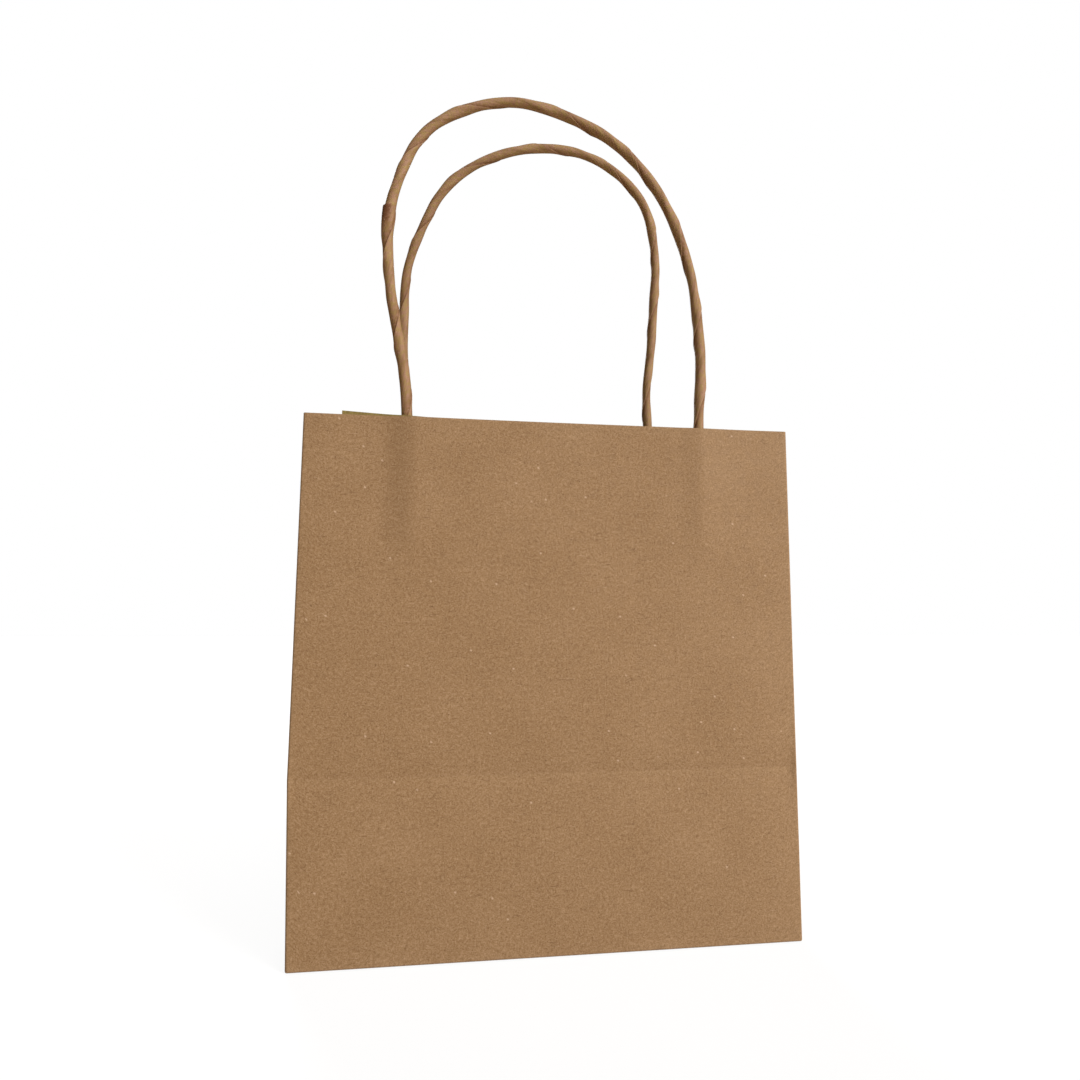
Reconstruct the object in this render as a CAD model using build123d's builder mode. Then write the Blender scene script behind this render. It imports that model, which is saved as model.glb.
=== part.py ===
from build123d import *
import math
import os

# A small kraft-paper gift bag with twisted-paper handles, standing open on its base.
# +X is across the front panel, -Y is the front, +Z is up, and Z = 0 is the floor. Millimetres.

# Driving dimensions of the bag
WIDTH = 150.0
DEPTH = 58.0
BAG_HEIGHT = 156.0
PAPER = 0.2

# Creases: each panel stops short of its fold line, so that it can turn without touching the next one
CORNER_GAP = 1.0
MIDDLE_GAP = 0.6
WALL_LIFT = 1.0  # the moving walls end this far above the floor, over the folded base

# Handles: twisted paper cord, both legs glued between two paper strips inside the panel
CORD = 3.5
CORD_CLEARANCE = 0.05
FRONT_EXITS = (-45.2, 46.4)
BACK_EXITS = (-45.2, 45.4)
PIVOT_RISE = 2.2  # the cord bends this far above the panel's top edge
FRONT_LEG_DEPTH = 40.0
BACK_LEG_DEPTH = 31.0
PATCH_WIDTH = 126.0
PATCH_DEPTH = 40.0

# Glued laps
SEAM_WIDTH = 8.0
SEAM_START = 2.9  # from the back left fold line
BASE_CLEARANCE = 0.4
BASE_SETBACK = 1.8  # the front edge swings out a little as the base starts to fold up
BASE_LAP = 26.0  # how far the two long base flaps overlap
TUCK_REACH = 27.0
TUCK_TIP = 14.0

# Derived places
FOLD_X = WIDTH / 2 - PAPER / 2  # the fold lines run in the middle of the paper
FOLD_Y = DEPTH / 2 - PAPER / 2
PANEL_SPAN = 2 * (FOLD_X - CORNER_GAP)
GUSSET_SPAN = FOLD_Y - CORNER_GAP - MIDDLE_GAP
GUSSET_MIDDLE = MIDDLE_GAP + GUSSET_SPAN / 2
INNER_Y = FOLD_Y - PAPER / 2
CORD_Y = INNER_Y - PAPER - CORD / 2
PIVOT_Z = BAG_HEIGHT + PIVOT_RISE
LEG_TOP = PIVOT_Z - CORD / 2 - CORD_CLEARANCE

# Routes of the loops above the top edge, as x and height over the edge, each from exit to exit
FRONT_ROUTE = [
    (-45.2, 2.2),
    (-45.9, 14),
    (-48.6, 28),
    (-51.0, 44),
    (-52.5, 61),
    (-50.6, 76.5),
    (-42.1, 99),
    (-17.6, 112.3),
    (5.7, 108.8),
    (27, 96.6),
    (39.7, 77),
    (45.9, 57),
    (48.0, 38),
    (48.2, 18.5),
    (46.4, 2.2),
]
BACK_ROUTE = [
    (-45.2, 2.2),
    (-45.6, 15.5),
    (-47.2, 32),
    (-47.8, 50),
    (-47.7, 67.5),
    (-42.7, 84),
    (-33.5, 102.5),
    (-18.6, 114),
    (4.1, 121),
    (27, 117.2),
    (43.9, 102.4),
    (48.3, 82),
    (47.4, 62),
    (46.2, 42.5),
    (44.5, 28),
    (45.2, 14),
    (45.4, 2.2),
]

os.makedirs("parts", exist_ok=True)


def save(builder, name):
    """Labels a finished piece and writes it as one node."""
    builder.part.label = name
    export_step(builder.part, f"parts/{name}.step")


# Walls: one sheet of paper, divided at its upright creases
def wall(name, x, y, size_x, size_y, bottom):
    with BuildPart() as panel:
        with BuildSketch(Plane.XY.offset(bottom)):
            with Locations((x, y)):
                Rectangle(size_x, size_y)
        extrude(amount=BAG_HEIGHT - bottom)
    save(panel, name)


wall("back_panel", 0, FOLD_Y, PANEL_SPAN, PAPER, 0)
wall("front_panel", 0, -FOLD_Y, PANEL_SPAN, PAPER, WALL_LIFT)
for side, x in (("left", -FOLD_X), ("right", FOLD_X)):
    wall(f"gusset_{side}_back", x, GUSSET_MIDDLE, PAPER, GUSSET_SPAN, WALL_LIFT)
    wall(f"gusset_{side}_front", x, -GUSSET_MIDDLE, PAPER, GUSSET_SPAN, WALL_LIFT)

# The lap of the side seam, glued inside the back panel beside its left corner
seam_x = -FOLD_X + SEAM_START + SEAM_WIDTH / 2
wall("side_seam_flap", seam_x, INNER_Y - PAPER / 2, SEAM_WIDTH, PAPER, WALL_LIFT)

# Base: two end tucks lie on two long flaps, and the long flaps overlap under the bag.
# The whole base swings up about a level line over its back edge, so its front edge stands back.
BASE_X = WIDTH / 2 - PAPER - BASE_CLEARANCE
BASE_BACK = DEPTH / 2 - PAPER - BASE_CLEARANCE
BASE_FRONT = DEPTH / 2 - PAPER - BASE_SETBACK


def base_flap(name, front, back, layer):
    with BuildPart() as flap:
        with BuildSketch(Plane.XY.offset(layer * PAPER)):
            with Locations((0, (front + back) / 2)):
                Rectangle(2 * BASE_X, back - front)
        extrude(amount=PAPER)
    save(flap, name)


def base_tuck(name, direction, layer):
    edge = direction * BASE_X
    tip = direction * (BASE_X - TUCK_REACH)
    with BuildPart() as tuck:
        with BuildSketch(Plane.XY.offset(layer * PAPER)):
            with BuildLine():
                Polyline(
                    (edge, -BASE_FRONT),
                    (edge, BASE_BACK),
                    (tip, TUCK_TIP / 2),
                    (tip, -TUCK_TIP / 2),
                    close=True,
                )
            make_face()
        extrude(amount=PAPER)
    save(tuck, name)


base_flap("base_flap_front", -BASE_FRONT, BASE_LAP / 2, 0)
base_flap("base_flap_back", -BASE_LAP / 2, BASE_BACK, 1)
base_tuck("base_tuck_left", -1, 2)
base_tuck("base_tuck_right", 1, 2)


# Handles
def corner_radii(points):
    """The largest arc that each corner's two runs leave room for."""
    radii = []
    for before, at, after in zip(points, points[1:], points[2:]):
        arriving = Vector(*at) - Vector(*before)
        leaving = Vector(*after) - Vector(*at)
        turn = math.radians(arriving.get_angle(leaving))
        shorter = min(arriving.length, leaving.length)
        radii.append(0.45 * shorter / math.tan(turn / 2))
    return radii


def handle_loop(name, route, y):
    points = [(x, y, BAG_HEIGHT + height) for x, height in route]
    radii = corner_radii(points)
    start = Plane(origin=points[0], z_dir=Vector(*points[1]) - Vector(*points[0]))
    with BuildPart() as loop:
        with BuildLine() as path:
            FilletPolyline(*points, radius=radii)
        with BuildSketch(start):
            Circle(CORD / 2)
        sweep(path=path.wires()[0])
        with Locations(points[0], points[-1]):
            Sphere(CORD / 2)
    length = path.wires()[0].length
    print(name, "length", round(length, 1), "radii", [round(r) for r in radii])
    expected = math.pi * (CORD / 2) ** 2 * length + 4 / 3 * math.pi * (CORD / 2) ** 3
    print(name, "volume", round(loop.part.volume, 1), "expected", round(expected, 1))
    save(loop, name)


def handle_leg(name, x, y, depth):
    with BuildPart() as leg:
        with BuildSketch(Plane.XY.offset(BAG_HEIGHT - depth)):
            with Locations((x, y)):
                Circle(CORD / 2)
        extrude(amount=LEG_TOP - BAG_HEIGHT + depth)
    save(leg, name)


def patch_backing(name, direction):
    y = direction * (INNER_Y - PAPER / 2)
    with BuildPart() as backing:
        with BuildSketch(Plane.XY.offset(BAG_HEIGHT - PATCH_DEPTH)):
            with Locations((0, y)):
                Rectangle(PATCH_WIDTH, PAPER)
        extrude(amount=PATCH_DEPTH)
    save(backing, name)


def patch_cover(name, exits, direction):
    """A paper strip that lies on the backing and is humped over both legs of the cord."""
    cord_y = direction * CORD_Y
    glued_y = direction * (INNER_Y - PAPER)
    strip_y = glued_y - direction * PAPER / 2
    inner = CORD / 2 + CORD_CLEARANCE
    outer = inner + PAPER
    legs = [(x, cord_y) for x in exits]
    feet = [(x, (cord_y + glued_y) / 2) for x, _ in legs]
    foot_height = abs(glued_y - cord_y)
    with BuildPart() as cover:
        with BuildSketch(Plane.XY.offset(BAG_HEIGHT - PATCH_DEPTH)):
            with Locations((0, strip_y)):
                Rectangle(PATCH_WIDTH, PAPER)
            with Locations(*legs):
                Circle(outer)
            with Locations(*feet):
                Rectangle(2 * outer, foot_height)
            with Locations(*legs):
                Circle(inner, mode=Mode.SUBTRACT)
            with Locations(*feet):
                Rectangle(2 * inner, foot_height, mode=Mode.SUBTRACT)
            with Locations((0, glued_y + direction * outer)):
                Rectangle(PATCH_WIDTH, 2 * outer, mode=Mode.SUBTRACT)
        extrude(amount=PATCH_DEPTH)
    save(cover, name)


for side, direction, route, exits, depth in (
    ("front", -1, FRONT_ROUTE, FRONT_EXITS, FRONT_LEG_DEPTH),
    ("back", 1, BACK_ROUTE, BACK_EXITS, BACK_LEG_DEPTH),
):
    cord_y = direction * CORD_Y
    handle_loop(f"handle_{side}_loop", route, cord_y)
    handle_leg(f"handle_{side}_leg_left", exits[0], cord_y, depth)
    handle_leg(f"handle_{side}_leg_right", exits[1], cord_y, depth)
    patch_backing(f"handle_{side}_patch_backing", direction)
    patch_cover(f"handle_{side}_patch_cover", exits, direction)
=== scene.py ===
"""A small kraft-paper gift bag with twisted-paper handles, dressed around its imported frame.

The shapes below are worked out in millimetres and become metres when a mesh is made.
"""

import math

import bpy
import numpy as np
from mathutils import Matrix, Vector


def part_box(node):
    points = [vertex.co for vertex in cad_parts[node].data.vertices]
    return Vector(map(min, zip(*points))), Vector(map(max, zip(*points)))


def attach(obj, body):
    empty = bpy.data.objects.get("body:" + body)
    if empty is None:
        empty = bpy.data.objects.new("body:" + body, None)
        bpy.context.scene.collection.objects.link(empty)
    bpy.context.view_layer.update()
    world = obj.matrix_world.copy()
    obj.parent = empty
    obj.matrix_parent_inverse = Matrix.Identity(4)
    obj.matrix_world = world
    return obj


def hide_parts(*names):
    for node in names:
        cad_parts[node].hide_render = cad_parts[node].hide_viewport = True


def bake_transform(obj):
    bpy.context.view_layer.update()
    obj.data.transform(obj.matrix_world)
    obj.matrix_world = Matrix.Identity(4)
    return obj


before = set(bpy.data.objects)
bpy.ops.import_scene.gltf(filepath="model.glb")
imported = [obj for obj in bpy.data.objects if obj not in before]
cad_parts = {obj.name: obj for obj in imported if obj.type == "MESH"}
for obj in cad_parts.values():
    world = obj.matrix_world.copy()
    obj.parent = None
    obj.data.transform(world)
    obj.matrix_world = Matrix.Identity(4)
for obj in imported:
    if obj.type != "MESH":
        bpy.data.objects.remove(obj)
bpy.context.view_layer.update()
scene = bpy.context.scene

MM = 0.001
PAPER = 0.2
CORD = 3.5
HANDLE_LEAN = math.radians(4)  # both loops lean towards the middle of the bag


def edges(node):
    """The lowest and highest corner of a CAD node, in millimetres."""
    low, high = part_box(node)
    return [v / MM for v in low], [v / MM for v in high]


# Places from the frame
TOP = edges("front_panel")[1][2]
FOLD_X = edges("gusset_right_front")[1][0] - PAPER / 2
FOLD_Y = edges("back_panel")[1][1] - PAPER / 2
PATCH_LOW, PATCH_HIGH = edges("handle_front_patch_backing")
PATCH_HALF = PATCH_HIGH[0]
PATCH_DEPTH = TOP - PATCH_LOW[2]
SEAM_X = -64.0  # the side seam's edge on the back panel
CREASE_FRONT = 51.1  # height of the level crease in the front panel
CREASE_BACK = 23.0


# ---------------------------------------------------------------- camera
def make_camera(place, yaw, pitch, roll, lens):
    """A camera turned from +Y by yaw, pitch and roll."""
    forward = Vector(
        (
            math.sin(yaw) * math.cos(pitch),
            math.cos(yaw) * math.cos(pitch),
            math.sin(pitch),
        )
    )
    level = Vector((math.cos(yaw), -math.sin(yaw), 0))
    over = level.cross(forward)
    right = math.cos(roll) * level + math.sin(roll) * over
    up = right.cross(forward)
    data = bpy.data.cameras.new("camera")
    data.sensor_width = 36
    data.lens = lens
    data.clip_start = 0.01
    data.clip_end = 50
    camera = bpy.data.objects.new("camera", data)
    scene.collection.objects.link(camera)
    turn = Matrix((right, up, -forward)).transposed().to_4x4()
    camera.matrix_world = Matrix.Translation(place) @ turn
    scene.camera = camera


make_camera(
    place=Vector((-0.04063, -0.26258, 0.09429)),
    yaw=math.radians(8.691),
    pitch=math.radians(6.131),
    roll=math.radians(0.061),
    lens=26.333,
)


# ---------------------------------------------------------------- small helpers
def smooth(low, high, value):
    """0 below low, 1 above high, and an even turn between them."""
    t = np.clip((np.asarray(value, float) - low) / (high - low), 0, 1)
    return t * t * (3 - 2 * t)


def bump(value, centre, reach):
    """1 at the centre, falling away evenly on both sides."""
    return np.exp(-(((np.asarray(value, float) - centre) / reach) ** 2))


def ridge(distance, reach):
    """1 on a crease, falling away with a corner at the crease itself."""
    return np.exp(-np.abs(distance) / reach)


CLOSEST = 0.12  # two places in a grid line keep at least this far apart
SAME_PLACE = 0.02  # points of a plan closer than this are one


def places(start, end, step, fine=()):
    """Places from start to end, closer together round each fine (place, reach, step)."""
    found = list(np.linspace(start, end, max(2, round(abs(end - start) / step) + 1)))
    for place, reach, close in fine:
        found += list(np.arange(place - reach, place + reach + close / 2, close))
    low, high = min(start, end), max(start, end)
    kept = []
    for value in sorted(v for v in found if low <= v <= high):
        if not kept or value - kept[-1] > CLOSEST:
            kept.append(value)
    kept[-1] = high
    return np.array(kept if start < end else kept[::-1])


def new_object(name, points, faces, material):
    """A smooth mesh from points in millimetres."""
    mesh = bpy.data.meshes.new(name)
    mesh.from_pydata([tuple(p) for p in points * MM], [], faces)
    mesh.validate()
    mesh.materials.append(material)
    for polygon in mesh.polygons:
        polygon.use_smooth = True
    mesh.set_sharp_from_angle(angle=math.radians(50))
    made = bpy.data.objects.new(name, mesh)
    scene.collection.objects.link(made)
    return made


def give_map(mesh, flat):
    """A map in millimetres, so that the paper's grain runs on over every fold."""
    layer = mesh.uv_layers.new(name="paper")
    corner = np.zeros(len(mesh.loops), int)
    mesh.loops.foreach_get("vertex_index", corner)
    layer.data.foreach_set("uv", flat[corner].astype(np.float32).ravel())


def give_value(mesh, name, values):
    """A number at each point, for the material to read."""
    attribute = mesh.attributes.new(name, "FLOAT", "POINT")
    attribute.data.foreach_set("value", np.asarray(values, np.float32).ravel())


# ---------------------------------------------------------------- materials
PAPER_GLOSS = 0.28


class Graph:
    """A material's node tree, with short calls for the nodes that paper needs."""

    def __init__(self, name):
        self.material = bpy.data.materials.new(name)
        self.material.use_nodes = True
        self.tree = self.material.node_tree
        self.tree.nodes.clear()

    def node(self, kind, inputs=None, **settings):
        made = self.tree.nodes.new(kind)
        for key, value in settings.items():
            setattr(made, key, value)
        for key, value in (inputs or {}).items():
            if isinstance(value, bpy.types.NodeSocket):
                self.tree.links.new(value, made.inputs[key])
            else:
                made.inputs[key].default_value = value
        return made

    def maths(self, operation, a, b):
        return self.node("ShaderNodeMath", {0: a, 1: b}, operation=operation).outputs[0]

    def weighted(self, *parts):
        """The sum of (value, weight) pairs."""
        total = self.maths("MULTIPLY", *parts[0])
        for value, weight in parts[1:]:
            total = self.maths("ADD", total, self.maths("MULTIPLY", value, weight))
        return total

    def paper_map(self):
        return self.node("ShaderNodeUVMap", uv_map="paper").outputs["UV"]

    def attribute(self, name):
        return self.node("ShaderNodeAttribute", attribute_name=name).outputs["Fac"]

    def stretched(self, vector, shares):
        inputs = {0: vector, 1: shares}
        made = self.node("ShaderNodeVectorMath", inputs, operation="MULTIPLY")
        return made.outputs["Vector"]

    def bumped(self, height, strength, distance):
        inputs = {"Height": height, "Strength": strength, "Distance": distance}
        return self.node("ShaderNodeBump", inputs).outputs["Normal"]

    def noise(self, vector, scale, detail, roughness):
        inputs = {
            "Vector": vector,
            "Scale": scale,
            "Detail": detail,
            "Roughness": roughness,
        }
        return self.node("ShaderNodeTexNoise", inputs).outputs["Fac"]

    def remap(self, value, low, high, to_low=0.0, to_high=1.0):
        inputs = {
            "Value": value,
            "From Min": low,
            "From Max": high,
            "To Min": to_low,
            "To Max": to_high,
        }
        made = self.node("ShaderNodeMapRange", inputs, interpolation_type="SMOOTHSTEP")
        return made.outputs["Result"]

    def mixed(self, factor, a, b):
        """Colour a where factor is 0 and colour b where it is 1."""
        made = self.node("ShaderNodeMix", {0: factor, 6: a, 7: b}, data_type="RGBA")
        return made.outputs[2]

    def finished(self, inputs):
        """The material, with a shader that has these inputs on its output."""
        shader = self.node("ShaderNodeBsdfPrincipled", inputs)
        self.node("ShaderNodeOutputMaterial", {"Surface": shader.outputs["BSDF"]})
        return self.material

    def shades(self, value, colour, stops):
        """A ramp over value, whose stops are (position, shade of the colour)."""
        made = self.node("ShaderNodeValToRGB", {"Fac": value})
        elements = made.color_ramp.elements
        while len(elements) < len(stops):
            elements.new(0.5)
        for element, (position, shade) in zip(elements, stops):
            element.position = position
            element.color = tint(colour, shade)
        return made.outputs["Color"]

    def flecks(self, vector, length, width, angle, size, share, offset):
        """Small long marks at random: length and width of a cell in millimetres."""
        turned = self.node(
            "ShaderNodeMapping",
            {
                "Vector": vector,
                "Rotation": (0, 0, math.radians(angle)),
                "Location": (offset, 2 * offset, 0),
            },
        ).outputs["Vector"]
        inputs = {"Vector": self.stretched(turned, (1 / length, 1 / width, 1)), "Scale": 1.0}
        cells = self.node("ShaderNodeTexVoronoi", inputs, voronoi_dimensions="2D")
        near = self.remap(cells.outputs["Distance"], size * 0.55, size, 1.0, 0.0)
        split = self.node("ShaderNodeSeparateColor", {"Color": cells.outputs["Color"]})
        chosen = self.remap(split.outputs["Red"], 1 - share, 1 - share * 0.8)
        return self.maths("MULTIPLY", near, chosen)


def tint(colour, factor):
    """Below 1 a darker and stronger colour, above 1 a paler one, as pulp takes light."""
    shares = (factor, factor**1.3, factor**1.9)
    return tuple(min(1.0, c * share) for c, share in zip(colour, shares)) + (1.0,)


def hair_fibres(g, bent):
    """Thin dark fibres, most of them near level."""
    hairs = g.flecks(bent, 11.0, 0.42, 3, 0.19, 0.05, 0.0)
    for angle, share, offset in ((-12, 0.04, 31.0), (22, 0.025, 57.0), (-50, 0.015, 83.0)):
        more = g.flecks(bent, 9.0, 0.42, angle, 0.18, share, offset)
        hairs = g.maths("MAXIMUM", hairs, more)
    return hairs


def kraft_paper(name, colour, fibre_strength=1.0):
    """Unbleached kraft: pulp, fine grain, hair fibres, pale and dark specks, rubbed folds, and
    painted shade and light by the handle legs.
    """
    g = Graph(name)
    flat = g.paper_map()
    wander = g.node("ShaderNodeTexNoise", {"Vector": flat, "Scale": 0.16, "Detail": 1.0})
    inputs = {0: wander.outputs["Color"], 1: (3.4, 3.4, 0.0), 2: flat}
    bent = g.node("ShaderNodeVectorMath", inputs, operation="MULTIPLY_ADD").outputs["Vector"]
    clouds = g.noise(flat, 0.05, 2.0, 0.5)
    mottle = g.noise(flat, 0.38, 3.0, 0.55)
    pulp = g.noise(bent, 1.4, 2.0, 0.6)
    grain = g.noise(flat, 2.7, 2.0, 0.65)
    tone = g.weighted((clouds, 0.08), (mottle, 0.09), (pulp, 0.36), (grain, 0.47))
    body = g.shades(tone, colour, ((0.34, 0.58), (0.50, 1.00), (0.66, 1.46)))

    hairs = hair_fibres(g, bent)
    worn = g.maths("MULTIPLY", g.attribute("wear"), g.remap(mottle, 0.35, 0.62, 0.25, 1.0))
    for mark, strength, shade in (
        (hairs, 0.55 * fibre_strength, 0.42),
        (g.flecks(flat, 2.6, 1.9, 0, 0.11, 0.10, 11.0), 0.55, 0.40),  # dark specks
        (g.flecks(bent, 8.0, 0.5, 8, 0.17, 0.05, 71.0), 0.35, 1.75),  # pale hairs
        (g.flecks(flat, 2.4, 1.9, 60, 0.13, 0.10, 43.0), 0.30, 1.7),  # faint specks
        (g.flecks(flat, 3.4, 2.6, 30, 0.135, 0.020, 19.0), 0.62, 2.0),  # pale specks
        (worn, 0.30, 1.45),
        # painted shade by the legs, and painted light right of the right leg
        (g.attribute("painted_leg_shade"), 0.5, 0.5),
        (g.attribute("painted_leg_light"), 0.5, 1.5),
    ):
        body = g.mixed(g.maths("MULTIPLY", mark, strength), body, tint(colour, shade))

    height = g.weighted((pulp, 0.6), (grain, 0.35), (mottle, 0.8), (hairs, 0.25))
    inputs = {
        "Base Color": body,
        "Roughness": g.remap(mottle, 0.3, 0.7, 0.74, 0.86),
        "Normal": g.bumped(height, 0.35, 0.00008),
        "Specular IOR Level": PAPER_GLOSS,
        "Sheen Weight": 0.06,
        "Sheen Roughness": 0.6,
    }
    return g.finished(inputs)


def twisted_cord(name, colour, yellow, lap_colour):
    """Paper strip rolled and twisted into a cord, darker where the lap turns under: staining,
    and painted shade under the lap's edge.
    """
    g = Graph(name)
    flat = g.paper_map()
    along = g.stretched(flat, (0.16, 1.0, 1.0))
    clouds = g.noise(flat, 0.10, 3.0, 0.6)
    mottle = g.noise(flat, 0.7, 4.0, 0.6)
    creases = g.noise(along, 1.5, 4.0, 0.65)
    grain = g.noise(flat, 4.0, 2.0, 0.5)
    tone = g.weighted((clouds, 0.18), (mottle, 0.26), (creases, 0.34), (grain, 0.22))

    stops = ((0.33, 0.60), (0.50, 1.00), (0.67, 1.40))
    brown, buff = (g.shades(tone, base, stops) for base in (colour, yellow))
    body = g.mixed(g.remap(mottle, 0.40, 0.60), brown, buff)
    # the lap mark: staining, and painted shade under the lap's edge and at the splice's step
    lap = g.attribute("lap")
    stain_and_painted_shade = g.maths("MULTIPLY", lap, g.remap(mottle, 0.34, 0.56, 0.45, 1.0))
    hairs = g.flecks(flat, 6.0, 0.4, 12, 0.20, 0.16, 5.0)
    specks = g.flecks(flat, 2.2, 1.5, 30, 0.12, 0.20, 19.0)
    body = g.mixed(stain_and_painted_shade, body, tint(lap_colour, 1.0))
    for mark, strength, shade in (
        (hairs, 0.40, tint(lap_colour, 0.9)),
        (specks, 0.40, tint(colour, 1.7)),
        (g.attribute("wear"), 0.18, tint(colour, 1.4)),
    ):
        body = g.mixed(g.maths("MULTIPLY", mark, strength), body, shade)
    height = g.weighted((creases, 1.2), (grain, 1.0), (mottle, 0.7))
    inputs = {
        "Base Color": body,
        "Roughness": g.remap(mottle, 0.3, 0.7, 0.62, 0.80),
        "Normal": g.bumped(height, 0.6, 0.00016),
        "Specular IOR Level": PAPER_GLOSS,
    }
    return g.finished(inputs)


PAPER_COLOUR = (0.1955, 0.1148, 0.0530)
# the strips' paper: the bag's kraft made darker and more olive, as painted shade
PATCH_PAINTED_SHADE_COLOUR = (0.140, 0.099, 0.025)
CORD_COLOUR = (0.225, 0.121, 0.069)
YELLOW_CORD = (0.196, 0.122, 0.041)
LAP_COLOUR = (0.100, 0.036, 0.010)
kraft = kraft_paper("kraft_paper", PAPER_COLOUR)
patch_kraft_painted_shade = kraft_paper("patch_paper", PATCH_PAINTED_SHADE_COLOUR, 0.8)
cord_paper = twisted_cord("paper_cord", CORD_COLOUR, YELLOW_CORD, LAP_COLOUR)


# ---------------------------------------------------------------- handle cords
FRONT_LEGS = (-45.2, 46.4)
BACK_LEGS = (-45.2, 45.4)
FRONT_DEPTH = 40  # how far the legs reach down inside the wall
BACK_DEPTH = 31


def rim_bow(x, z):
    """How far the front and back walls bow in towards the rim, from corner to corner."""
    return 0.35 * (1 - (x / FOLD_X) ** 2) * smooth(70, TOP, z) ** 2


# Routes of the loops above the top edge, as x and height over the edge, each from exit to exit
FRONT_ROUTE = [
    (FRONT_LEGS[0], 2.2),
    (-45.9, 14),
    (-48.8, 28),
    (-51.4, 44),
    (-52.6, 61),
    (-50.6, 76.5),
    (-42.1, 99),
    (-17.6, 112.3),
    (5.7, 108.8),
    (27, 96.6),
    (39.7, 77),
    (45.9, 57),
    (48.0, 38),
    (48.2, 18.5),
    (FRONT_LEGS[1], 2.2),
]
BACK_ROUTE = [
    (BACK_LEGS[0], 2.2),
    (-45.7, 15.5),
    (-47.6, 32),
    (-48.0, 50),
    (-47.7, 67.5),
    (-42.7, 84),
    (-33.5, 102.5),
    (-18.6, 114),
    (4.1, 121),
    (27, 117.2),
    (43.9, 102.4),
    (48.3, 82),
    (47.4, 62),
    (46.2, 42.5),
    (44.5, 28),
    (45.2, 14),
    (BACK_LEGS[1], 2.2),
]
CORD_Y = FOLD_Y - PAPER / 2 - PAPER - CORD / 2


def cord_place(x, height, direction):
    """A point of a handle: in line with its wall below the rim, leaning in above it."""
    y = CORD_Y - rim_bow(x, min(TOP, TOP + height))
    lean = max(0.0, height) * math.sin(HANDLE_LEAN)
    rise = max(0.0, height) * math.cos(HANDLE_LEAN) + min(0.0, height)
    return Vector((x, direction * (y - lean), TOP + rise)) * MM


def spline_points(name, controls):
    """Points along the NURBS spline that has these control points."""
    curve = bpy.data.curves.new(name, "CURVE")
    curve.dimensions = "3D"
    curve.resolution_u = 20
    spline = curve.splines.new("NURBS")
    spline.points.add(len(controls) - 1)
    for point, place in zip(spline.points, controls):
        point.co = (*place, 1.0)
    spline.order_u = 3
    spline.use_endpoint_u = True
    spline.resolution_u = 20
    holder = bpy.data.objects.new(name, curve)
    scene.collection.objects.link(holder)
    line = bpy.data.meshes.new_from_object(holder)
    points = np.array([v.co for v in line.vertices], float)
    bpy.data.meshes.remove(line)
    bpy.data.objects.remove(holder)
    bpy.data.curves.remove(curve)
    return points


TWIST_PITCH = 30.0
ROLL_RADIUS = 0.955 * CORD / 2  # the roll's mean; its lap stands out to the full size
LAP_STEP = 0.13
LAP_END = 0.985  # share of a turn where the strip's edge lies
SPLICE_STEP = 0.34
SPLICE_PLACE = FRONT_DEPTH + 69.6  # how far along the front cord a new strip starts
ROUND_STEPS = 36


def cord_section(turn):
    """Radius as a share of the roll's mean, from one side of the lap round to the other."""
    spiral = 1 + LAP_STEP * (0.5 - turn)
    flats = 0.045 * np.cos(4 * math.pi * turn + 0.6) + 0.02 * np.cos(6 * math.pi * turn)
    return spiral + flats


def cord_line(name, controls):
    """Points along the route in millimetres, the length so far, and two directions across."""
    centres = spline_points(name, controls) / MM
    steps = np.linalg.norm(np.diff(centres, axis=0), axis=1)
    centres = centres[np.concatenate([[True], steps > 1e-4])]
    steps = np.linalg.norm(np.diff(centres, axis=0), axis=1)
    length = np.concatenate([[0], np.cumsum(steps)])
    way = np.gradient(centres, axis=0)
    way /= np.linalg.norm(way, axis=1, keepdims=True)
    side = np.cross(way, (0.0, 1.0, 0.0))
    side /= np.linalg.norm(side, axis=1, keepdims=True)
    return centres, length, side, np.cross(way, side)


def rolled_radius(length, turn, angle, seed):
    """The uneven radius of the rolled paper, for each place along it and round it."""
    wobble = (
        0.035 * np.sin(length / 7.3 + seed)
        + 0.025 * np.sin(length / 3.9 + 2 * seed)
        + 0.02 * np.sin(length / 15.0 - seed)
    )
    radius = ROLL_RADIUS * cord_section(turn)[None] * (1 + wobble[:, None])
    across = np.sin(5 * angle + length[:, None] / 1.9)
    dents = 0.018 * across * np.sin(length[:, None] / 2.3 + 6 * math.pi * turn[None])
    return radius * (1 + dents)


def splice_shape(splice, length, angle):
    """Where a new strip starts: how much it swells the roll, and its staining and painted shade,
    on the left side.
    """
    behind = splice - length
    facing = 0.5 + 0.5 * np.cos(angle)
    fade = 0.70 + 0.30 * np.exp(-np.maximum(behind, 0) / 3.0)
    swell = smooth(-0.5, 0.15, behind) * fade * (1 - smooth(9.5, 14.5, behind))
    # staining with painted shade at the step, on the left side
    splice_stain_and_shade = smooth(-0.4, 0.1, behind) * (1 - smooth(2.5, 9.0, behind))
    return SPLICE_STEP * swell[:, None] * facing, splice_stain_and_shade[:, None] * smooth(0.22, 0.62, facing)


def tube_faces(count, around):
    """Quads between rings of points, and a fan at each end round its middle point."""
    faces = []
    for i in range(count - 1):
        for j in range(around):
            k = (j + 1) % around
            here, there = i * around, (i + 1) * around
            faces.append((here + j, here + k, there + k, there + j))
    first, last = count * around, count * around + 1
    end = (count - 1) * around
    for j in range(around):
        k = (j + 1) % around
        faces.append((j, first, k))
        faces.append((end + k, last, end + j))
    return faces


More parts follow.
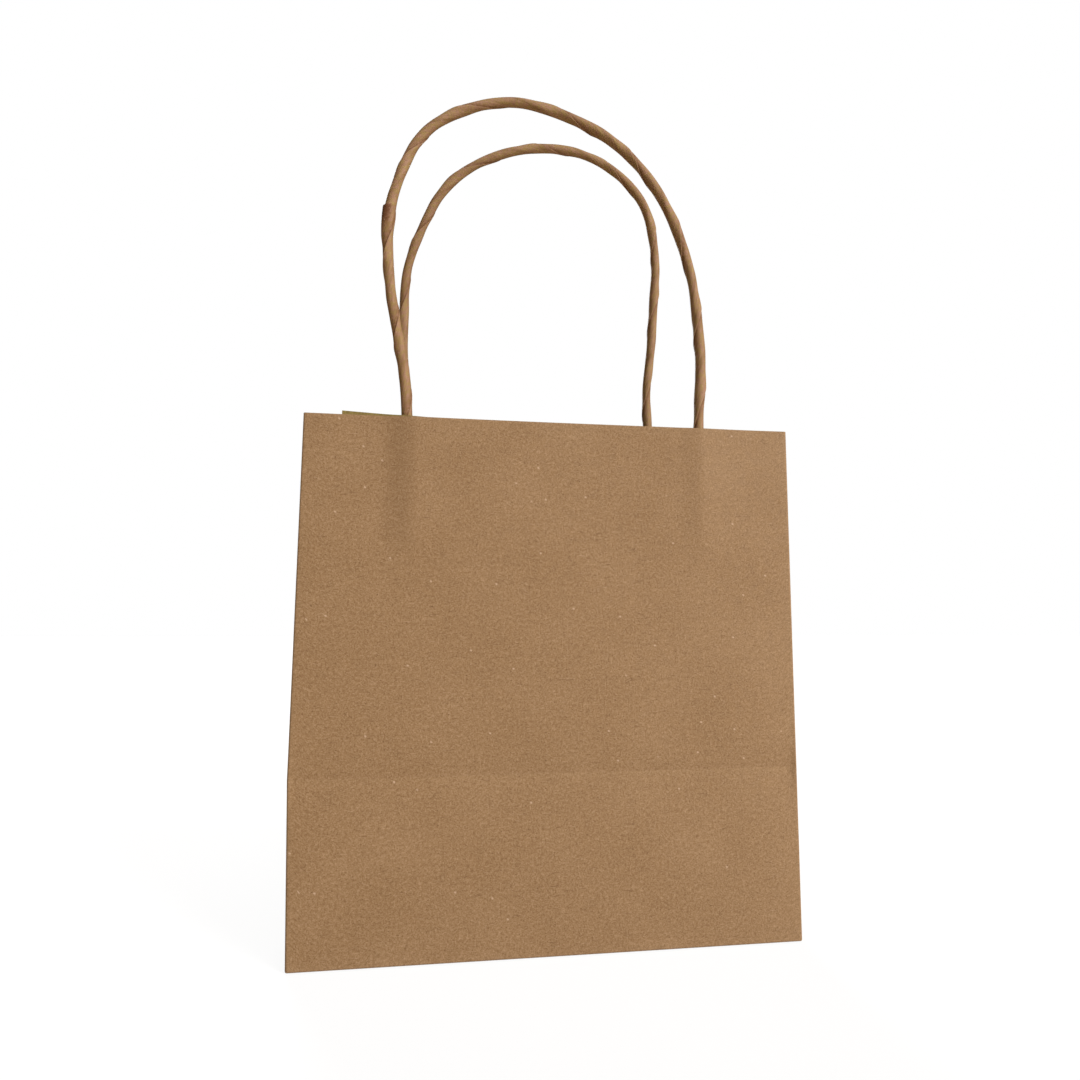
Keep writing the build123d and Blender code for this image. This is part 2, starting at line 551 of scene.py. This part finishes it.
def make_cord(name, controls, seed, splice=None):
    """A rolled strip of paper, twisted, along the spline of its route."""
    centres, length, side, over = cord_line(name, controls)
    turn = np.linspace(0, LAP_END, ROUND_STEPS)
    twist = length / TWIST_PITCH + 0.06 * np.sin(length / 11.0 + seed)
    angle = 2 * math.pi * (turn[None] + twist[:, None]) + seed
    radius = rolled_radius(length, turn, angle, seed)
    splice_stain_and_shade = np.zeros_like(radius)
    if splice is not None:
        swell, splice_stain_and_shade = splice_shape(splice, length, angle)
        radius = radius * (1 + swell)

    across = np.cos(angle)[..., None] * side[:, None] + np.sin(angle)[..., None] * over[:, None]
    rings = centres[:, None] + radius[..., None] * across
    points = np.concatenate([rings.reshape(-1, 3), centres[:1], centres[-1:]])
    made = new_object(name, points, tube_faces(*radius.shape), cord_paper)
    along, round_it = np.meshgrid(length, math.pi * CORD * turn, indexing="ij")
    flat = np.stack([along, round_it], -1).reshape(-1, 2)
    give_map(made.data, np.concatenate([flat, [[0, 0], [length[-1], 0]]]))
    # painted shade just under the lap's edge, plus a fainter band halfway round; the splice adds
    # its own
    under = np.exp((turn - LAP_END) / 0.095) + 0.40 * bump(turn, 0.45, 0.06)
    lap = np.clip(under[None], 0, 1) + 1.3 * splice_stain_and_shade
    crest = np.exp(-turn / 0.03)[None] * np.ones_like(radius)
    give_value(made.data, "lap", np.concatenate([lap.ravel(), [0, 0]]))
    give_value(made.data, "wear", np.concatenate([crest.ravel(), [0, 0]]))
    return made, centres * MM


def make_handle(side, direction, route, depth, seed, splice=None):
    """One cord: a leg down inside the wall, the loop, and the other leg."""
    left, right = route[0][0], route[-1][0]
    legs_down = [(left, -depth), (left, -depth / 2)]
    legs_up = [(right, -depth / 2), (right, -depth)]
    controls = [cord_place(x, h, direction) for x, h in legs_down + route + legs_up]
    cord, path = make_cord(f"{side}_handle_cord", controls, seed, splice)
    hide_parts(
        f"handle_{side}_loop",
        f"handle_{side}_leg_left",
        f"handle_{side}_leg_right",
    )
    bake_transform(cord)


make_handle("front", -1, FRONT_ROUTE, FRONT_DEPTH, -0.2, SPLICE_PLACE)
make_handle("back", 1, BACK_ROUTE, BACK_DEPTH, 2.3)


# ---------------------------------------------------------------- relief of the walls
def ripple(across, z, seed):
    """Slow unevenness of loose paper, about 1 either way."""
    return (
        0.42 * np.sin(across / 17.0 + seed) * np.sin(z / 23.0 + 1.7 * seed)
        + 0.33 * np.sin(across / 9.5 - 1.3 * seed + z / 31.0)
        + 0.25 * np.sin(z / 12.5 + across / 26.0 + 2.1 * seed)
    )


def corner_fade(across, half):
    """0 at a wall's edges, where it meets the next wall, and 1 further in."""
    return smooth(0, 14, half - np.abs(across))


def leg_marks(x, z, legs, depth):
    """The glued legs lift the wall: a soft rise at the left one, a crease by the right one."""
    low = smooth(TOP - depth - 8, TOP - depth + 8, z)
    past_left = np.maximum(x - legs[0] - 3.0, 0)
    left = smooth(legs[0] - 7.5, legs[0] + 3.0, x) * np.exp(-past_left / 20.0)
    past_right = np.maximum(x - legs[1], 0)
    right = smooth(legs[1] - 8, legs[1], x) * np.exp(-past_right / 7.0)
    return low * (0.86 * left + 0.40 * right)


def front_relief(x, z):
    """Outward positive, in millimetres."""
    loose = 0.16 * ripple(x, z, 0.6) * smooth(8, 60, z)
    marks = leg_marks(x, z, FRONT_LEGS, FRONT_DEPTH)
    belly = 0.35 * bump(z, 26, 17) * corner_fade(x, FOLD_X + 6)
    crease = (0.44 + 0.10 * smooth(-60, 70, x)) * ridge(z - CREASE_FRONT, 5.5)
    crease = crease * smooth(0, 1.5, FOLD_X - np.abs(x))
    return corner_fade(x, FOLD_X) * (loose + marks) + belly - crease - rim_bow(x, z)


def back_relief(x, z):
    """The back wall also shows the seam and the strips inside it."""
    loose = 0.22 * ripple(x, z, 2.9) * smooth(8, 60, z)
    marks = leg_marks(x, z, BACK_LEGS, BACK_DEPTH)
    crease = 0.24 * ridge(z - CREASE_BACK, 4.0) * smooth(0, 1.5, FOLD_X - np.abs(x))
    seam = 0.10 * (1 - smooth(SEAM_X - 0.4, SEAM_X + 0.4, x)) * smooth(0, 3, FOLD_X + x)
    within = smooth(-0.4, 0.4, PATCH_HALF - np.abs(x))
    strips = 0.09 * within * smooth(-0.4, 0.4, z - PATCH_LOW[2])
    return corner_fade(x, FOLD_X) * (loose + marks) + seam + strips - crease - rim_bow(x, z)


def gusset_relief(y, z, side):
    """The middle crease leans in, more towards the rim, and the base folds leave a ridge."""
    lean = (0.25 * smooth(0, 50, z) + 1.0 * smooth(45, TOP, z)) * (1 - np.abs(y) / FOLD_Y)
    slope = (CREASE_FRONT - CREASE_BACK) / FOLD_Y
    line = np.where(y < 0, CREASE_BACK - slope * y, CREASE_BACK)
    distance = (z - line) * np.where(y < 0, math.cos(math.atan(slope)), 1.0)
    fold = 0.34 * ridge(distance, 3.2) * smooth(0, 2.5, FOLD_Y - np.abs(y))
    loose = 0.13 * ripple(y * 1.6, z, 4.2 + side) * corner_fade(y * 1.2, FOLD_Y * 1.2)
    return fold + loose * smooth(20, 60, z) - lean


def corner_push(x, y, z):
    """The front left corner leans out to the level crease and back in below it."""
    away = np.hypot(x + FOLD_X, y + FOLD_Y)
    above = (TOP - z) / (TOP - CREASE_FRONT)
    strength = np.clip(np.minimum(above, z / CREASE_FRONT), 0, 1) * ridge(away, 9.0)
    return np.stack([-1.2 * strength, np.zeros_like(strength)], -1)


def wall_relief(x, y, z, normal):
    """How far any wall stands out from its flat place, in millimetres."""
    facing_front = smooth(0.6, 0.95, -normal[..., 1])
    facing_back = smooth(0.6, 0.95, normal[..., 1])
    facing_side = smooth(0.6, 0.95, np.abs(normal[..., 0]))
    return (
        facing_front * front_relief(x, z)
        + facing_back * back_relief(x, z)
        + facing_side * gusset_relief(y, z, np.sign(x))
    )


# ---------------------------------------------------------------- walls
CORNER_RADIUS = 0.6
CORNER_STEPS = 6
CURL = 0.35  # the bottom edge is rounded in by this much before it meets the floor
SHORT_LIP = 0.1  # how far a wall's paper runs on under the bag
FRONT_LIP = 2.0
PIECE_SEAM = 2.5  # the walls meet this far from a fold line


def run(start, end, step, fine=()):
    """Stations along a straight stretch. Walking anticlockwise, the outside is on the right."""
    start, end = np.array(start, float), np.array(end, float)
    axis = int(abs(end - start)[1] > abs(end - start)[0])
    at = places(start[axis], end[axis], step, fine)
    line = np.repeat(start[None], len(at), 0)
    line[:, axis] = at
    way = (end - start) / np.linalg.norm(end - start)
    normals = np.repeat(np.array([[way[1], -way[0]]]), len(at), 0)
    return line, normals


def corner(centre, from_degrees):
    """Stations round a quarter turn."""
    angles = np.radians(np.linspace(from_degrees, from_degrees + 90, CORNER_STEPS))
    normals = np.stack([np.cos(angles), np.sin(angles)], -1)
    return np.array(centre, float) + CORNER_RADIUS * normals, normals


def joined(*stretches):
    """Stretches in a row as one line, without doubled points."""
    line = np.concatenate([s[0] for s in stretches])
    normals = np.concatenate([s[1] for s in stretches])
    keep = [0]
    for i in range(1, len(line)):
        if np.linalg.norm(line[i] - line[keep[-1]]) > SAME_PLACE:
            keep.append(i)
    return line[keep], normals[keep]


def closed_sheet(name, middle, flat, wear, material):
    """A closed mesh, as thick as the paper, on both sides of a grid of points."""
    rows, columns = middle.shape[:2]
    across = np.gradient(middle, axis=0)
    up = np.gradient(middle, axis=1)
    normal = np.cross(across, up)
    normal /= np.linalg.norm(normal, axis=-1, keepdims=True)
    points = np.concatenate(
        [
            (middle + normal * PAPER / 2).reshape(-1, 3),
            (middle - normal * PAPER / 2).reshape(-1, 3),
        ]
    )
    count = rows * columns

    def at(i, j):
        return i * columns + j

    faces = []
    for i in range(rows - 1):
        for j in range(columns - 1):
            face = (at(i, j), at(i + 1, j), at(i + 1, j + 1), at(i, j + 1))
            faces.append(face)
            faces.append(tuple(count + k for k in reversed(face)))
    rim = [at(i, 0) for i in range(rows)]
    rim += [at(rows - 1, j) for j in range(1, columns)]
    rim += [at(i, columns - 1) for i in range(rows - 2, -1, -1)]
    rim += [at(0, j) for j in range(columns - 2, 0, -1)]
    for a, b in zip(rim, rim[1:] + rim[:1]):
        faces.append((b, a, count + a, count + b))
    made = new_object(name, points, faces, material)
    give_map(made.data, np.concatenate([flat.reshape(-1, 2)] * 2))
    give_value(made.data, "wear", np.concatenate([wear.ravel()] * 2))
    return made


HEIGHTS = places(
    0.75,
    TOP,
    3.0,
    fine=[
        (CREASE_FRONT, 5.0, 0.5),
        (CREASE_FRONT, 1.2, 0.2),
        (CREASE_BACK, 4.0, 0.5),
        (CREASE_BACK, 1.0, 0.25),
        (TOP, 4.0, 0.8),
        (TOP - FRONT_DEPTH, 4.0, 1.0),
        (2.0, 2.0, 0.6),
    ],
)


def profile(lip):
    """(inset, height) from under the bag round its bottom edge and up to the rim."""
    under = [(CURL + lip * k, PAPER / 2) for k in (1.0, 0.6, 0.25)]
    angles = np.radians(np.linspace(90, 0, CORNER_STEPS))
    turn = [
        (CURL - CURL * math.cos(a), PAPER / 2 + CURL - CURL * math.sin(a))
        for a in angles
    ]
    return np.array(under + turn + [(0.0, z) for z in HEIGHTS])


def crease_wear(x, y, z, normal):
    """Paper rubs pale on its folds and along the rim."""
    near_x = FOLD_X - np.abs(x)
    near_y = FOLD_Y - np.abs(y)
    upright = np.exp(-(np.hypot(near_x, near_y) / 0.7))
    middle = np.where(np.abs(normal[..., 0]) > 0.9, np.exp(-np.abs(y) / 0.45), 0)
    level = np.where(normal[..., 1] < -0.9, ridge(z - CREASE_FRONT, 0.5), 0)
    level_back = np.where(normal[..., 1] > 0.9, ridge(z - CREASE_BACK, 0.5), 0)
    rim = np.exp(-(TOP - z) / 0.35)
    foot = np.exp(-z / 0.8)
    return np.maximum.reduce(
        [
            0.45 * upright,
            0.70 * middle,
            0.25 * level,
            0.55 * level_back,
            0.60 * rim,
            0.80 * foot,
        ]
    )


def leg_painted_shade_and_light(x, z, normal):
    """Painted shade just left of each leg, and painted light right of the right leg's crease."""
    left, right = FRONT_LEGS
    front = np.where(normal[..., 1] < -0.9, 1.0, 0.0)
    # painted shade: darker bands just left of the two legs, below the rim
    dark = 0.33 * bump(x, left - 1.8, 4.8) + 0.13 * bump(x, right - 2.6, 3.2)
    dark = dark * smooth(TOP - 44, TOP - 22, z)
    past = x - right
    # painted light: a paler wall right of the right leg, fading away from it
    pale = 0.20 * smooth(-0.1, 0.9, past) * np.exp(-np.maximum(past, 0) / 18.0)
    return front * dark, front * pale * smooth(TOP - 42, TOP - 8, z)


def distances(points):
    """How far along each line of points lie."""
    steps = np.linalg.norm(np.diff(points, axis=-2), axis=-1)
    return np.insert(np.cumsum(steps, axis=-1), 0, 0, axis=-1)


def make_wall(name, stretches, map_start, lip=SHORT_LIP):
    """A wall from its plan, turned in at the foot by lip and shaped by wall_relief."""
    line, normals = joined(*stretches)
    span = distances(line)
    near_corner = (FOLD_X - np.abs(line[:, 0])) * (np.abs(normals[:, 1]) > 0.99)
    lips = SHORT_LIP + (lip - SHORT_LIP) * smooth(1.5, 5.0, near_corner)
    grid = np.stack([profile(one) for one in lips])
    inset, z = grid[..., 0], grid[..., 1]
    x = np.repeat(line[:, None, 0], z.shape[1], 1)
    y = np.repeat(line[:, None, 1], z.shape[1], 1)
    normal = np.repeat(normals[:, None], z.shape[1], 1)
    out = wall_relief(x, y, z, normal) * smooth(0.5, 6, z) - inset
    plan = np.stack([x, y], -1) + normal * out[..., None] + corner_push(x, y, z)
    middle = np.concatenate([plan, z[..., None]], -1)
    across = map_start + np.repeat(span[:, None], z.shape[1], 1)
    flat = np.stack([across, distances(grid)], -1)
    wear = crease_wear(x, y, z, normal)
    wall = closed_sheet(name, middle, flat, wear, kraft)
    # painted shade and painted light by the front legs, for the material
    for value, painted_shading in zip(("painted_leg_shade", "painted_leg_light"), leg_painted_shade_and_light(x, z, normal)):
        give_value(wall.data, value, np.concatenate([painted_shading.ravel()] * 2))
    return wall


EDGE_X = FOLD_X - CORNER_RADIUS
EDGE_Y = FOLD_Y - CORNER_RADIUS
SEAM_LAP = FOLD_X + SEAM_X
LAPPED = PAPER + 0.02  # the seam's lap lies this far inside the back wall
LEG_PLACES = [
    (FRONT_LEGS[0], 8.0, 0.8),
    (FRONT_LEGS[1], 8.0, 0.6),
    (FRONT_LEGS[0], 3.0, 0.6),
]
NEAR_CORNERS = [(-FOLD_X, 12.0, 1.2), (FOLD_X, 8.0, 1.2)]
MIDDLE = [(0.0, 1.4, 0.2), (0.0, 5.0, 0.8)]

front_wall = make_wall(
    "front_wall",
    [
        run((-FOLD_X, -FOLD_Y + PIECE_SEAM), (-FOLD_X, -EDGE_Y), 0.5),
        corner((-EDGE_X, -EDGE_Y), 180),
        run((-EDGE_X, -FOLD_Y), (EDGE_X, -FOLD_Y), 3.0, LEG_PLACES + NEAR_CORNERS),
        corner((EDGE_X, -EDGE_Y), 270),
    ],
    map_start=-FOLD_X - PIECE_SEAM,
    lip=FRONT_LIP,
)
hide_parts("front_panel")
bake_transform(front_wall)

right_front_wall = make_wall(
    "right_gusset_front_half",
    [run((FOLD_X, -EDGE_Y), (FOLD_X, PIECE_SEAM), 3.0, MIDDLE + [(-FOLD_Y, 5, 1)])],
    map_start=FOLD_X + CORNER_RADIUS,
)
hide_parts("gusset_right_front")
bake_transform(right_front_wall)

right_rear_wall = make_wall(
    "right_gusset_rear_half",
    [
        run((FOLD_X, PIECE_SEAM), (FOLD_X, EDGE_Y), 3.0, [(FOLD_Y, 5, 1)]),
        corner((EDGE_X, EDGE_Y), 0),
        run((EDGE_X, FOLD_Y), (FOLD_X - PIECE_SEAM, FOLD_Y), 0.5),
    ],
    map_start=FOLD_X + FOLD_Y + PIECE_SEAM,
)
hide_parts("gusset_right_back")
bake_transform(right_rear_wall)

back_wall = make_wall(
    "back_wall",
    [
        run(
            (FOLD_X - PIECE_SEAM, FOLD_Y),
            (-FOLD_X + 0.15, FOLD_Y),
            3.0,
            LEG_PLACES + NEAR_CORNERS + [(SEAM_X, 1.5, 0.4), (PATCH_HALF, 1.0, 0.4)],
        )
    ],
    map_start=FOLD_X + 2 * FOLD_Y + PIECE_SEAM,
)
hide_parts("back_panel")
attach(back_wall, "back")

left_rear_wall = make_wall(
    "left_gusset_rear_half",
    [
        run((SEAM_X, FOLD_Y - LAPPED), (-EDGE_X, FOLD_Y - LAPPED), 1.0),
        corner((-EDGE_X, EDGE_Y - LAPPED), 90),
        run((-FOLD_X, EDGE_Y - LAPPED), (-FOLD_X, PIECE_SEAM), 3.0, [(FOLD_Y, 5, 1)]),
    ],
    map_start=-FOLD_X - 2 * FOLD_Y - SEAM_LAP,
)
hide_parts("gusset_left_back", "side_seam_flap")
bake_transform(left_rear_wall)

left_front_wall = make_wall(
    "left_gusset_front_half",
    [
        run(
            (-FOLD_X, PIECE_SEAM),
            (-FOLD_X, -FOLD_Y + PIECE_SEAM),
            3.0,
            MIDDLE + [(-FOLD_Y, 8, 1)],
        )
    ],
    map_start=-FOLD_X - FOLD_Y - PIECE_SEAM,
)
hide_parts("gusset_left_front")
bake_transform(left_front_wall)


# ---------------------------------------------------------------- patches over the legs
FRONT_TILT = math.radians(2.6)
BACK_TILT = math.radians(0.5)
FRONT_SHIFT = -1.0  # the front strips lie this far off the middle
PATCH_LEVEL_X = -38.0  # where a tilted strip's top edge crosses the rim
PATCH_MAP = 400.0  # from layer to layer on the map, so that no two strips look the same


def hump(x, legs):
    """How far the covering strip stands off the backing strip over the two legs."""
    off = np.minimum(np.abs(x - legs[0]), np.abs(x - legs[1]))
    return (CORD + 0.35) * (1 - smooth(1.35, 4.2, off))


def make_patch(name, side, direction, legs, tilt, shift, layer):
    """layer 1 lies on the wall, and layer 2 covers the legs of the cord."""
    near_legs = [(leg, 5.0, 0.4) for leg in legs]
    x_line = places(shift - PATCH_HALF, shift + PATCH_HALF, 3.0, near_legs)
    t_line = places(0, PATCH_DEPTH, 2.5, [(0, 1.5, 0.5), (PATCH_DEPTH, 1.5, 0.5)])
    if direction > 0:
        x_line = x_line[::-1]
    x, t = np.meshgrid(x_line, t_line, indexing="ij")
    z = PATCH_LOW[2] + t - (x - PATCH_LEVEL_X) * math.tan(tilt)
    wall = front_relief if direction < 0 else back_relief
    stand_off = PAPER * layer + 0.03
    if layer == 2:
        stand_off = stand_off + hump(x, legs)
    edge = np.minimum(PATCH_HALF - np.abs(x - shift), np.minimum(t, PATCH_DEPTH - t))
    lift = 0.25 * (layer - 1) * (1 - smooth(0, 3.0, edge)) * (0.5 + 0.5 * np.sin(x / 9.0))
    y = direction * (FOLD_Y + wall(x, np.minimum(z, TOP)) - stand_off - lift)
    middle = np.stack([x, y, z], -1)
    flat = np.stack([x + PATCH_MAP * layer, t], -1)
    wear = 0.5 * np.exp(-edge / 0.4)
    made = closed_sheet(name, middle, flat, wear, patch_kraft_painted_shade)
    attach(made, side)
    return made


for side, direction, legs, tilt, shift in (
    ("front", -1, FRONT_LEGS, FRONT_TILT, FRONT_SHIFT),
    ("back", 1, BACK_LEGS, BACK_TILT, 0.0),
):
    for layer, part in ((1, "backing"), (2, "cover")):
        name = f"{side}_patch_{part}"
        strip = make_patch(name, side, direction, legs, tilt, shift, layer)
        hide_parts(f"handle_{side}_patch_{part}")


# ---------------------------------------------------------------- base
TUCK_HALF = 7.0  # half the width of a tuck's tip
BASE_MAP = 900.0  # where the lowest layer starts on the map
BASE_MAP_STEP = 200.0  # how much further on each next layer starts
LAYER_RISE = 1.1 * PAPER


def make_base_sheet(name, node, ends, layer, seed):
    """A flat flap between two long edges. ends gives its outline in x for each y."""
    low, high = edges(node)
    y_line = places(low[1], high[1], 2.5, [(low[1], 2.0, 0.7), (high[1], 2.0, 0.7)])
    share = places(0, 60, 1.5, [(0, 1.2, 0.4), (60, 1.2, 0.4)]) / 60
    left, right = ends(y_line, low, high)
    width = right - left
    x = left[None] + width[None] * share[:, None]
    y = np.repeat(y_line[None], len(share), 0)
    rough = 0.05 * ripple(x, y * 1.4, seed) + 0.05
    z = PAPER / 2 + LAYER_RISE * (layer + 1) + rough * (1 if layer else 0.4)
    middle = np.stack([x, y, z], -1)
    flat = np.stack([x + BASE_MAP + BASE_MAP_STEP * layer, y], -1)
    wear = 0.4 * np.exp(-np.minimum(y - low[1], high[1] - y) / 0.5)
    made = closed_sheet(name, middle, flat, wear, kraft)
    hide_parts(node)
    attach(made, "base")


def long_flap(y, low, high):
    return np.full(len(y), low[0]), np.full(len(y), high[0])


def tuck(y, outer, tip, y_low, y_high):
    """A trapezium: full depth at the bag's end, narrow at its tip."""
    before = (-TUCK_HALF - y) / (-TUCK_HALF - y_low)
    after = (y - TUCK_HALF) / (y_high - TUCK_HALF)
    fall = np.clip(np.where(y < 0, before, after), 0, 0.97)
    return tip + (outer - tip) * fall


def left_tuck(y, low, high):
    return np.full(len(y), low[0]), tuck(y, low[0], high[0], low[1], high[1])


def right_tuck(y, low, high):
    return tuck(y, high[0], low[0], low[1], high[1]), np.full(len(y), high[0])


make_base_sheet("base_flap_lower", "base_flap_front", long_flap, 0, 0.3)
make_base_sheet("base_flap_upper", "base_flap_back", long_flap, 1, 1.9)
make_base_sheet("base_tuck_left_end", "base_tuck_left", left_tuck, 2, 3.1)
make_base_sheet("base_tuck_right_end", "base_tuck_right", right_tuck, 2, 4.7)


# ---------------------------------------------------------------- floor and light
FLOOR_HALF = 6.0  # metres
FLOOR_LEVEL = -0.2 * MM


def seen_or_lit(tree, seen, lit):
    """One shader where the camera looks, and another for the light that bounces."""
    rays = tree.nodes.new("ShaderNodeLightPath")
    chosen = tree.nodes.new("ShaderNodeMixShader")
    tree.links.new(rays.outputs["Is Camera Ray"], chosen.inputs[0])
    tree.links.new(lit.outputs[0], chosen.inputs[1])
    tree.links.new(seen.outputs[0], chosen.inputs[2])
    return chosen.outputs[0]


def make_floor():
    """Plain and pale to the camera, with a warmer bounce."""
    mesh = bpy.data.meshes.new("floor")
    turns = ((-1, -1), (1, -1), (1, 1), (-1, 1))
    corners = [(x * FLOOR_HALF, y * FLOOR_HALF, FLOOR_LEVEL) for x, y in turns]
    mesh.from_pydata(corners, [], [(0, 1, 2, 3)])
    g = Graph("floor")
    kinds = []
    for pale, glow in (((0.10, 0.10, 0.10, 1), 0.86), ((0.45, 0.36, 0.25, 1), 0.0)):
        inputs = {
            "Base Color": pale,
            "Roughness": 0.9,
            "Specular IOR Level": 0.1,
            "Emission Color": (1, 1, 1, 1),
            "Emission Strength": glow,
        }
        kinds.append(g.node("ShaderNodeBsdfPrincipled", inputs))
    g.node("ShaderNodeOutputMaterial", {"Surface": seen_or_lit(g.tree, *kinds)})
    mesh.materials.append(g.material)
    floor = bpy.data.objects.new("floor", mesh)
    scene.collection.objects.link(floor)


def make_sun(name, towards, strength, angle, colour):
    """A far, wide light: towards is where it stands as seen from the bag."""
    data = bpy.data.lights.new(name, "SUN")
    data.energy = strength
    data.angle = math.radians(angle)
    data.color = colour
    light = bpy.data.objects.new(name, data)
    scene.collection.objects.link(light)
    light.rotation_mode = "QUATERNION"
    light.rotation_quaternion = Vector(towards).to_track_quat("Z", "Y")


def make_panel(name, place, aim, power, size):
    """A soft light near the bag, which is brighter on the side that it stands on."""
    data = bpy.data.lights.new(name, "AREA")
    data.shape = "DISK"
    data.size = size
    data.energy = power
    light = bpy.data.objects.new(name, data)
    scene.collection.objects.link(light)
    light.location = place
    light.rotation_mode = "QUATERNION"
    light.rotation_quaternion = (Vector(place) - Vector(aim)).to_track_quat("Z", "Y")
    light.visible_camera = False


def make_world():
    """White behind the bag, and a dimmer even light from all round on it."""
    world = bpy.data.worlds.new("studio")
    world.use_nodes = True
    tree = world.node_tree
    tree.nodes.clear()
    kinds = []
    for strength, colour in ((1.0, (1, 1, 1, 1)), (0.14, (1, 0.82, 0.58, 1))):
        made = tree.nodes.new("ShaderNodeBackground")
        made.inputs["Color"].default_value = colour
        made.inputs["Strength"].default_value = strength
        kinds.append(made)
    output = tree.nodes.new("ShaderNodeOutputWorld")
    tree.links.new(seen_or_lit(tree, *kinds), output.inputs["Surface"])
    scene.world = world


make_floor()
make_sun("key", (0.64, -0.64, 0.52), 4.1, 26, (1.0, 0.985, 0.965))
make_sun("fill", (0.10, -0.98, 0.10), 0.42, 30, (1.0, 0.99, 0.98))
make_sun("top", (0.0, -0.30, 1.0), 1.2, 40, (1.0, 0.99, 0.98))
make_panel("side", (0.44, -0.34, 0.12), (0.0, -0.03, 0.08), 1.25, 0.22)
make_sun("back", (-0.12, 0.86, 0.50), 3.0, 30, (0.98, 0.99, 1.0))
make_world()
scene.view_settings.view_transform = "Standard"
